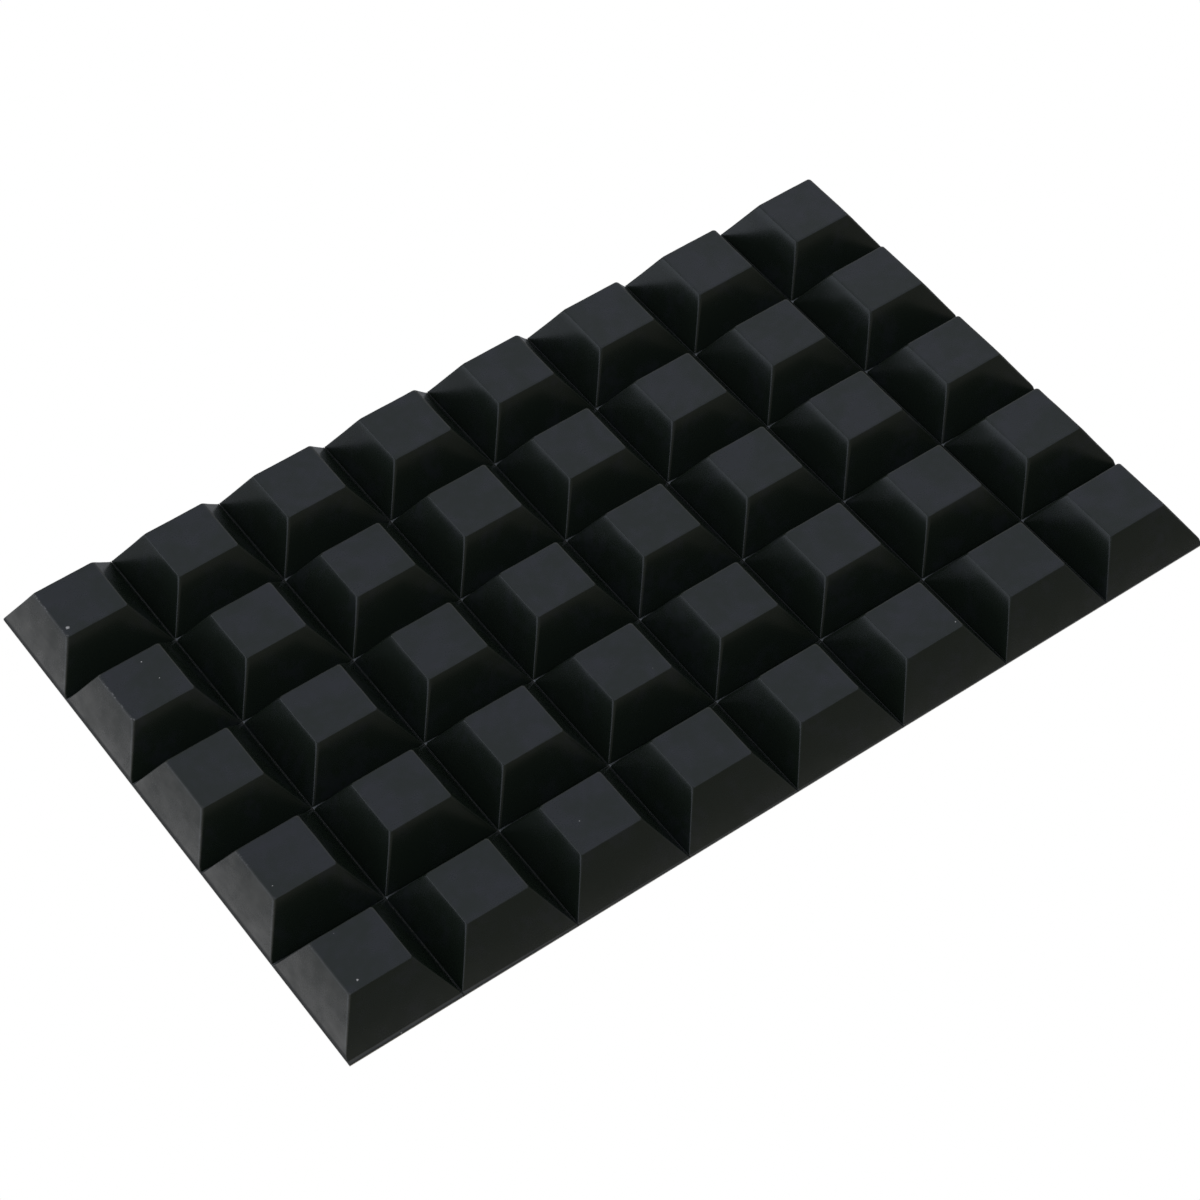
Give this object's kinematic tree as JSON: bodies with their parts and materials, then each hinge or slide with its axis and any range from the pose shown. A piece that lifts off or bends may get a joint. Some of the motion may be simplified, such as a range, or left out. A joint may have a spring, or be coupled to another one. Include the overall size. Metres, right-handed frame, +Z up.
{
  "type": "snowboard stomp pad",
  "caption": "Snowboard stomp pad: a rectangular sheet of square tapered rubber grip studs with adhesive backs, cut apart on one release liner, which they lift off strip by strip.",
  "frame": {"origin": "centre of the release liner's underside, on the surface the sheet lies on", "axes": "+X along the sheet's length (its columns), +Y across it (its rows), +Z up, out of the treads"},
  "size_m": [0.159, 0.1006, 0.0082],
  "materials": {
    "rubber": "moulded black rubber, satin",
    "adhesive": "clear pressure-sensitive film, glossy",
    "liner": "silicone-coated paper, smooth"
  },
  "bodies": {
    "liner": {"release_liner": "liner"},
    "strip_c1": {"stud_r1_c1": "rubber", "stud_r2_c1": "rubber", "stud_r3_c1": "rubber", "stud_r4_c1": "rubber", "stud_r5_c1": "rubber", "adhesive_c1": "adhesive"},
    "strip_c2": {"stud_r1_c2": "rubber", "stud_r2_c2": "rubber", "stud_r3_c2": "rubber", "stud_r4_c2": "rubber", "stud_r5_c2": "rubber", "adhesive_c2": "adhesive"},
    "strip_c3": {"stud_r1_c3": "rubber", "stud_r2_c3": "rubber", "stud_r3_c3": "rubber", "stud_r4_c3": "rubber", "stud_r5_c3": "rubber", "adhesive_c3": "adhesive"},
    "strip_c4": {"stud_r1_c4": "rubber", "stud_r2_c4": "rubber", "stud_r3_c4": "rubber", "stud_r4_c4": "rubber", "stud_r5_c4": "rubber", "adhesive_c4": "adhesive"},
    "strip_c5": {"stud_r1_c5": "rubber", "stud_r2_c5": "rubber", "stud_r3_c5": "rubber", "stud_r4_c5": "rubber", "stud_r5_c5": "rubber", "adhesive_c5": "adhesive"},
    "strip_c6": {"stud_r1_c6": "rubber", "stud_r2_c6": "rubber", "stud_r3_c6": "rubber", "stud_r4_c6": "rubber", "stud_r5_c6": "rubber", "adhesive_c6": "adhesive"},
    "strip_c7": {"stud_r1_c7": "rubber", "stud_r2_c7": "rubber", "stud_r3_c7": "rubber", "stud_r4_c7": "rubber", "stud_r5_c7": "rubber", "adhesive_c7": "adhesive"},
    "strip_c8": {"stud_r1_c8": "rubber", "stud_r2_c8": "rubber", "stud_r3_c8": "rubber", "stud_r4_c8": "rubber", "stud_r5_c8": "rubber", "adhesive_c8": "adhesive"}
  },
  "joints": [
    {"name": "strip_c1_lift", "type": "slide", "parent": "liner", "child": "strip_c1", "axis": [0, 0, 1], "range_m": [0, 0.02]},
    {"name": "strip_c2_lift", "type": "slide", "parent": "liner", "child": "strip_c2", "axis": [0, 0, 1], "range_m": [0, 0.02]},
    {"name": "strip_c3_lift", "type": "slide", "parent": "liner", "child": "strip_c3", "axis": [0, 0, 1], "range_m": [0, 0.02]},
    {"name": "strip_c4_lift", "type": "slide", "parent": "liner", "child": "strip_c4", "axis": [0, 0, 1], "range_m": [0, 0.02]},
    {"name": "strip_c5_lift", "type": "slide", "parent": "liner", "child": "strip_c5", "axis": [0, 0, 1], "range_m": [0, 0.02]},
    {"name": "strip_c6_lift", "type": "slide", "parent": "liner", "child": "strip_c6", "axis": [0, 0, 1], "range_m": [0, 0.02]},
    {"name": "strip_c7_lift", "type": "slide", "parent": "liner", "child": "strip_c7", "axis": [0, 0, 1], "range_m": [0, 0.02]},
    {"name": "strip_c8_lift", "type": "slide", "parent": "liner", "child": "strip_c8", "axis": [0, 0, 1], "range_m": [0, 0.02]}
  ]
}
